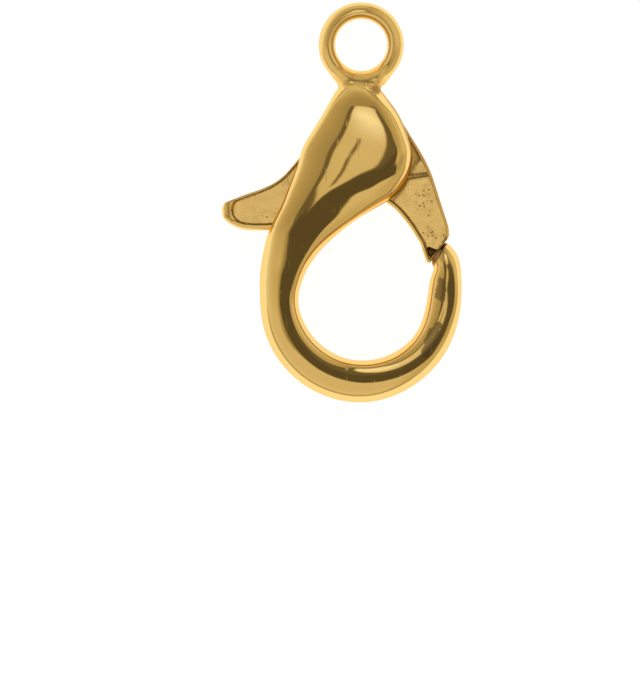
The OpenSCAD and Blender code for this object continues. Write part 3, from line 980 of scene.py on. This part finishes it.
# The photograph's frame: its size in pixels, the hook's centre in it and the size of a pixel
PHOTO_W, PHOTO_H = 640, 690
HOOK_X, HOOK_Y = 361.2, 299.5
PIXEL = 0.057357
CAMERA_HEIGHT = 600

view_mid = CENTRE[:2] + np.array([PHOTO_W / 2 - HOOK_X, HOOK_Y - PHOTO_H / 2]) * PIXEL
data = bpy.data.cameras.new("camera")
data.sensor_width = 36
data.lens = data.sensor_width * (CAMERA_HEIGHT - SLOT_Z) / (PHOTO_H * PIXEL)
data.clip_start, data.clip_end = 0.01, 100
camera = bpy.data.objects.new("camera", data)
camera.location = Vector((*view_mid, CAMERA_HEIGHT)) * MM
bpy.context.scene.collection.objects.link(camera)
bpy.context.scene.camera = camera
bpy.context.scene.view_settings.view_transform = "Standard"

table_mesh = bpy.data.meshes.new("table")
table_mesh.from_pydata([(-2, -2, 0), (2, -2, 0), (2, 2, 0), (-2, 2, 0)], [], [(0, 1, 2, 3)])
table = bpy.data.objects.new("table", table_mesh)
bpy.context.scene.collection.objects.link(table)
paper = bpy.data.materials.new("paper")
paper.use_nodes = True
shader = paper.node_tree.nodes["Principled BSDF"]
shader.inputs["Base Color"].default_value = (0.3, 0.3, 0.3, 1)
shader.inputs["Roughness"].default_value = 0.9
shader.inputs["Specular IOR Level"].default_value = 0
shader.inputs["Emission Color"].default_value = (1, 1, 1, 1)
shader.inputs["Emission Strength"].default_value = 0.9
table_mesh.materials.append(paper)


# The studio: a bright room with a strip light that dark frames edge, and a dark opening beside its lower end.
# Places in it are px, py = a direction's x and y over 1 + its z: 0 is overhead and 1 the horizon.
STRIP = [(-0.178, 0.06), (-0.12, -0.03), (-0.07, -0.01), (-0.02, 0.01), (0.0, 0.08), (0.03, 0.2), (0.05, 0.43),
         (-0.085, 0.43), (-0.155, 0.18), (-0.175, 0.1)]
LEFT_FRAME = [(-0.228, -0.01), (-0.1, -0.01), (0.0, 0.43), (-0.118, 0.43), (-0.186, 0.2)]
RIGHT_FRAME = [(-0.03, 0.0), (0.07, 0.0), (0.072, 0.46), (0.03, 0.46)]
LAMP_SLIT = [(-0.109, 0.015), (-0.096, 0.015), (-0.096, 0.075), (-0.109, 0.075)]
OPENING = [(-0.25, -0.03), (-0.13, -0.17), (0.2, -0.33), (0.24, -0.3), (0.11, 0.02), (0.07, 0.14)]
OPENING_END = [(0.1, -0.28), (0.2, -0.325), (0.36, -0.33), (0.3, -0.2), (0.2, -0.1), (0.12, -0.06)]
BEYOND = [(0.2, -0.22), (0.5, -0.26), (0.5, -0.06), (0.2, -0.05)]
# Dark panels in the order in which they are laid over each other
DARK = [
    # outline,    light, edge,  strength
    (BEYOND,      0.40, 0.080, 0.7),
    (OPENING,     0.10, 0.018, 1.0),
    (OPENING_END, 0.10, 0.018, 1.0),
    (LEFT_FRAME,  0.15, 0.008, 1.0),
    (RIGHT_FRAME, 0.14, 0.010, 1.0),
]


def panel(px, py, corners, soft):
    """1 inside a convex outline given counter-clockwise and 0 outside: one soft step for each side, multiplied."""
    inside = 1
    for (x0, y0), (x1, y1) in zip(corners, corners[1:] + corners[:1]):
        run = math.hypot(x1 - x0, y1 - y0)
        nx, ny = (y0 - y1) / run, (x1 - x0) / run
        inside = (px * nx + py * ny).steps(nx * x0 + ny * y0 - soft, nx * x0 + ny * y0 + soft) * inside
    return inside


def studio():
    world = bpy.data.worlds.new("studio")
    world.use_nodes = True
    tree = world.node_tree
    way = node(tree, "ShaderNodeTexCoord", output="Generated")
    x, y, z = parts_of(tree, way)
    px, py = x / (z + 1.001), y / (z + 1.001)
    out = (px * px + py * py) ** 0.5

    def mix(low, high, factor):
        return low + factor * (high - low)

    # Bright below and to the right, and a wall that is dim round the strip light and brightens away from it
    light = 0.67 + 0.08 * out.steps(0.5, 0.9) - 0.14 * px.steps(0.15, 0.4) * (1 - px.steps(0.7, 1.1))
    off_lamp = px + 0.1 - py * 0.2
    past_lamp = ((py - 0.22).size() - 0.2).most(0)
    apart = (off_lamp * off_lamp + past_lamp ** 2) ** 0.5
    wall = 0.35 + 0.13 * apart.steps(0.05, 0.4) + 0.45 * (px * -1).steps(0.35, 1.1)
    wall = wall + 0.45 * py.steps(0.55, 1)
    right_wall = 0.48 + 0.2 * px.steps(0.1, 0.5)
    wall = mix(wall, right_wall, (px - (py - 0.2).most(0) * 0.15).steps(0.05, 0.11))
    light = mix(light, wall, py.steps(-0.12, 0.06))
    light = mix(light, 0.97, (px * -0.8 + py * 0.6).steps(0.6, 0.95))
    # A dim patch to the left of the opening
    left = px * -1
    dim = (1 - left.steps(0.18, 0.36)) * left.steps(0.1, 0.14) * (1 - (py + 0.09).size().steps(0.04, 0.1))
    light = light * (1 - 0.6 * dim)
    # A dim horizon, less so to the right and not at all to the upper left
    side = 1 - left.steps(0.4, 0.9) * py.steps(-0.35, 0.0) - 0.5 * px.steps(0.3, 0.8)
    light = light * (1 - 0.42 * out.steps(0.76, 0.95) * side)

    for corners, dark, soft, strength in DARK:
        light = mix(light, dark, panel(px, py, corners, soft) * strength)
    # The strip light is brightest in a spot, and a slit in it is dark
    spot = (((px + 0.03) / 0.1) ** 2 + ((py - 0.27) / 0.17) ** 2) * -1
    strip = (0.62 + 0.4 * spot.exp()) * (1 - 0.75 * panel(px, py, LAMP_SLIT, 0.004))
    light = mix(light, strip, panel(px, py, STRIP, 0.008))
    # The dim walls are warm and the lamps a little cool
    tint = blend(tree, light.steps(0.45, 1), (1.02, 0.92, 0.7), (1, 1.07, 1.3))
    tree.links.new(tint.link, tree.nodes["Background"].inputs["Color"])
    tree.links.new(light.link, tree.nodes["Background"].inputs["Strength"])
    return world


bpy.context.scene.world = studio()
